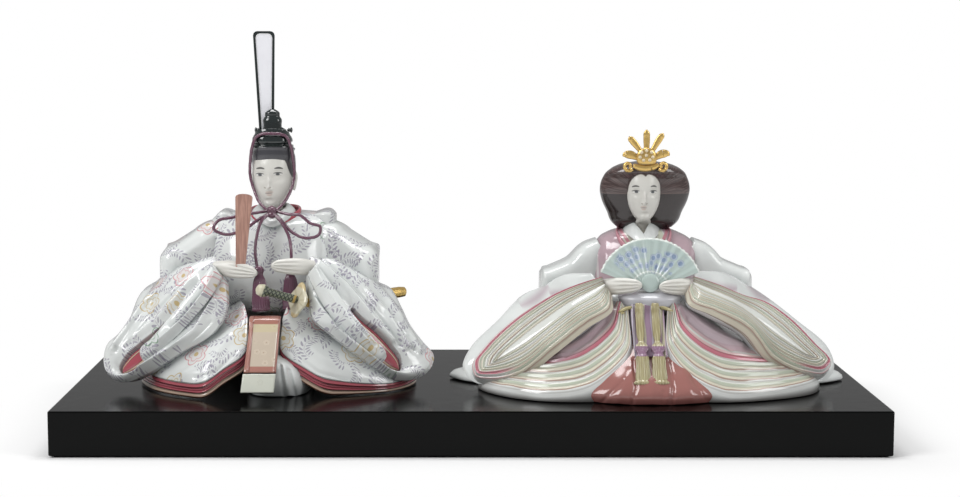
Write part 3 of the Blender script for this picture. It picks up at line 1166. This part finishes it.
obi_shares = (
    (0.03, -0.54, 0.64, 0.15, 0.12, 2.2), (0.03, -0.55, 0.69, 0.225, 0.18, 2.4), (0.03, -0.55, 0.79, 0.26, 0.20, 2.4),
    (0.03, -0.54, 0.89, 0.25, 0.18, 2.4), (0.03, -0.53, 0.94, 0.17, 0.12, 2.2))
ribbon_shares = ((-0.150, 0.120, -0.745, 0.755), (-0.152, 0.125, -0.79, 0.68), (-0.148, 0.125, -0.90, 0.53),
                 (-0.142, 0.130, -1.035, 0.394))
obi = column("empress_obi", empress, obi_shares, mauve, count=16)
obi = joined(obi, strip("ribbon", band_rows(empress, ribbon_shares), ribbon_thickness, mauve))
tassel_path_shares = (   # y, z, half width, half thickness down the olive cords, as shares of the strip's own sizes
    (-0.775, 0.770, 0.40, 0.30), (-0.785, 0.752, 0.50, 0.50), (-0.815, 0.68, 0.50, 0.50), (-0.925, 0.53, 0.50, 0.50),
    (-1.065, 0.385, 0.46, 0.55), (-1.125, 0.30, 0.55, 0.65), (-1.185, 0.19, 0.66, 0.70), (-1.205, 0.155, 0.60, 0.60),
    (-1.207, 0.150, 0.30, 0.30))
tassel_sides_shares = {"left": -0.085, "right": 0.050}


def tassel_strip(name, side):
    rows = [(*P((side, y, z)), wide * tassel_strip_width, thick * tassel_strip_thickness, 2.6)
            for y, z, wide, thick in tassel_path_shares]
    return tube("empress_tassel_" + name, rows, olive, count=8)


empress_tassels = [tassel_strip(name, side) for name, side in tassel_sides_shares.items()]

# Empress's head, hair and tiara
empress_chin_shares = (0.019, -0.03, 1.409)
empress_chin = P(empress_chin_shares)
empress_head = head("empress_head", empress_chin, empress_face_height, empress_face_width, empress_face_depth, 0.0, ())
empress_hair_shares = (
    (0.043, 0.05, 1.33, 0.24, 0.12, 2.0), (0.043, 0.05, 1.36, 0.275, 0.14, 2.1), (0.043, 0.045, 1.47, 0.33, 0.165, 2.1),
    (0.043, 0.04, 1.57, 0.375, 0.17, 2.1), (0.043, 0.035, 1.67, 0.392, 0.17, 2.1), (0.043, 0.02, 1.75, 0.375, 0.18, 2.1),
    (0.043, -0.005, 1.81, 0.335, 0.20, 2.1), (0.043, 0.0, 1.855, 0.275, 0.18, 2.1), (0.043, 0.01, 1.89, 0.19, 0.13, 2.1),
    (0.043, 0.02, 1.905, 0.09, 0.07, 2.0))
hair_tail_shares = ((0.10, 1.47), (0.20, 1.37), (0.30, 1.20), (0.36, 1.00), (0.41, 0.80), (0.53, 0.58), (0.68, 0.34))
empress_hair = column("empress_hair", empress, empress_hair_shares, hair_brown, count=24)
hair_tail = tube("hair_tail", [(*P((empress_hair_shares[0][0], y, z)), hair_tail_width / 2, hair_tail_thickness / 2, 2.4)
                               for y, z in hair_tail_shares], hair_brown, count=8)
empress_hair = joined(empress_hair, hair_tail)

tiara_foot_shares = (0.036, -0.188, 1.870)
tiara_outline_shares = (   # across and up, as shares of its half width
    (-0.82, -0.08), (-0.95, 0.05), (-0.85, 0.21), (-0.66, 0.27), (-1.00, 0.49), (-0.95, 0.64), (-0.59, 0.69),
    (-0.49, 0.80), (-0.77, 1.33), (-0.69, 1.44), (-0.56, 1.41), (-0.26, 0.95), (-0.12, 1.03), (-0.13, 1.54),
    (0.0, 1.64), (0.13, 1.54), (0.12, 1.03), (0.26, 0.95), (0.56, 1.41), (0.69, 1.44), (0.77, 1.33), (0.49, 0.80),
    (0.59, 0.69), (0.95, 0.64), (1.00, 0.49), (0.66, 0.27), (0.85, 0.21), (0.95, 0.05), (0.82, -0.08),
    (0.62, -0.07), (0.51, 0.08), (0.0, 0.02), (-0.51, 0.08), (-0.62, -0.07))
tiara_foot = P(tiara_foot_shares)
tiara_outline = np.array(tiara_outline_shares) * tiara_half_width
tiara = plate("tiara", tiara_outline, (1.0, 0.0, 0.0), up, tiara_thickness, gold, tiara_foot, origin=tiara_foot)
medallion_rise_share = 0.46
medallion_place = tiara_foot + up * medallion_rise_share * tiara_half_width
medallion_rows = [(medallion_place[0], medallion_place[1] - share * medallion_thickness, medallion_place[2],
                   wide * medallion_radius, wide * medallion_radius, 2.0)
                  for share, wide in ((-0.2, 0.9), (0.45, 1.0), (0.6, 0.94), (0.8, 0.6))]
tiara = joined(tiara, tube("medallion", medallion_rows, gold, count=16, origin=tiara_foot))

# Empress's fan and the hands that hold it
fan_pivot_shares = (0.022, -0.660, 0.857)
fan_pivot = P(fan_pivot_shares)


def pleated_fan():
    """An open fan: a pleated leaf over flat ribs, and the round end where the ribs meet"""
    across = np.array((1.0, 0.0, 0.0))
    over = np.array((0.0, math.sin(fan_lean), math.cos(fan_lean)))
    through = np.cross(across, over)
    mesh = bmesh.new()
    sheets = []
    for side in (-0.5, 0.5):
        rows = []
        for radius, fold in ((0.3 * fan_rib_radius, 0.0), (fan_rib_radius, 0.2), (0.97 * fan_radius, 1.0),
                             (fan_radius, 1.0)):
            row = []
            for step in range(2 * fan_pleats + 1):
                turn = fan_half_angle * (step / fan_pleats - 1)
                ridge = fan_pleat * fold * (0.5 if step % 2 else -0.5)
                row.append(mesh.verts.new(fan_pivot + across * radius * math.sin(turn) + over * radius * math.cos(turn)
                                          + through * (side * fan_thickness + ridge)))
            rows.append(row)
        sheets.append(rows)
    for rows in sheets:
        for lower, upper in zip(rows, rows[1:]):
            for i in range(2 * fan_pleats):
                mesh.faces.new((lower[i], lower[i + 1], upper[i + 1], upper[i]))
    back, front = sheets
    rims = (back[0][::-1] + [row[0] for row in back[1:]] + back[-1][1:] + [row[-1] for row in back[-2:0:-1]],
            front[0][::-1] + [row[0] for row in front[1:]] + front[-1][1:] + [row[-1] for row in front[-2:0:-1]])
    for i in range(len(rims[0])):
        j = (i + 1) % len(rims[0])
        mesh.faces.new((rims[0][i], rims[0][j], rims[1][j], rims[1][i]))
    leaf_part = solid("fan", mesh, fan_white, fan_pivot)
    centre = fan_pivot + over * 0.85 * fan_lobe_radius
    turns = np.linspace(0.0, 2 * math.pi, 16, endpoint=False)
    lobe = plate("lobe", [(fan_lobe_radius * math.cos(t), fan_lobe_radius * math.sin(t)) for t in turns], across, over,
                 1.5 * fan_thickness, fan_white, centre, origin=fan_pivot)
    return joined(leaf_part, lobe)


fan = pleated_fan()
empress_wrist_left_shares = (-0.39, -0.59, 0.885)
empress_tip_left_shares = (-0.055, -0.715, 0.915)
empress_wrist_right_shares = (0.43, -0.59, 0.885)
empress_tip_right_shares = (0.096, -0.715, 0.900)
empress_hands = [hand("empress_hand_left", P(empress_wrist_left_shares), P(empress_tip_left_shares), 0.0),
                 hand("empress_hand_right", P(empress_wrist_right_shares), P(empress_tip_right_shares), 0.0)]

vee_white_shares = ((0.03, 0.15, 1.405), (-0.07, 0.10, 1.41), (-0.115, -0.02, 1.405), (-0.075, -0.16, 1.37),
                    (0.012, -0.29, 1.27), (0.11, -0.16, 1.37), (0.16, -0.02, 1.405), (0.12, 0.10, 1.41))
vee_coral_shares = ((0.03, 0.20, 1.37), (-0.13, 0.14, 1.385), (-0.22, -0.02, 1.365), (-0.225, -0.16, 1.315),
                    (-0.15, -0.28, 1.22), (0.02, -0.37, 1.08), (0.20, -0.28, 1.23), (0.265, -0.16, 1.325),
                    (0.27, -0.02, 1.37), (0.18, 0.14, 1.385))
empress_collar_white = collar("empress_collar_white", empress, vee_white_shares, porcelain, 1.5 * collar_height)
empress_collar_coral = collar("empress_collar_coral", empress, vee_coral_shares, coral)

fan_holder = empress.holder("fan_lift", fan_pivot)
tiara_holder = empress.holder("tiara_lift", tiara_foot)
assemble(empress, [fan, tiara, *empress_hands, *empress_tassels, obi, empress_head, empress_hair, empress_collar_white,
                   empress_collar_coral, vest, *[pieces[1] for pieces in empress_sleeves],
                   *[pieces[0] for pieces in empress_sleeves], *empress_skirts, empress_hakama, empress_robe,
                   empress_train], {fan: fan_holder, tiara: tiara_holder}, empress_robe, (0.04, 0.15, 0.0))
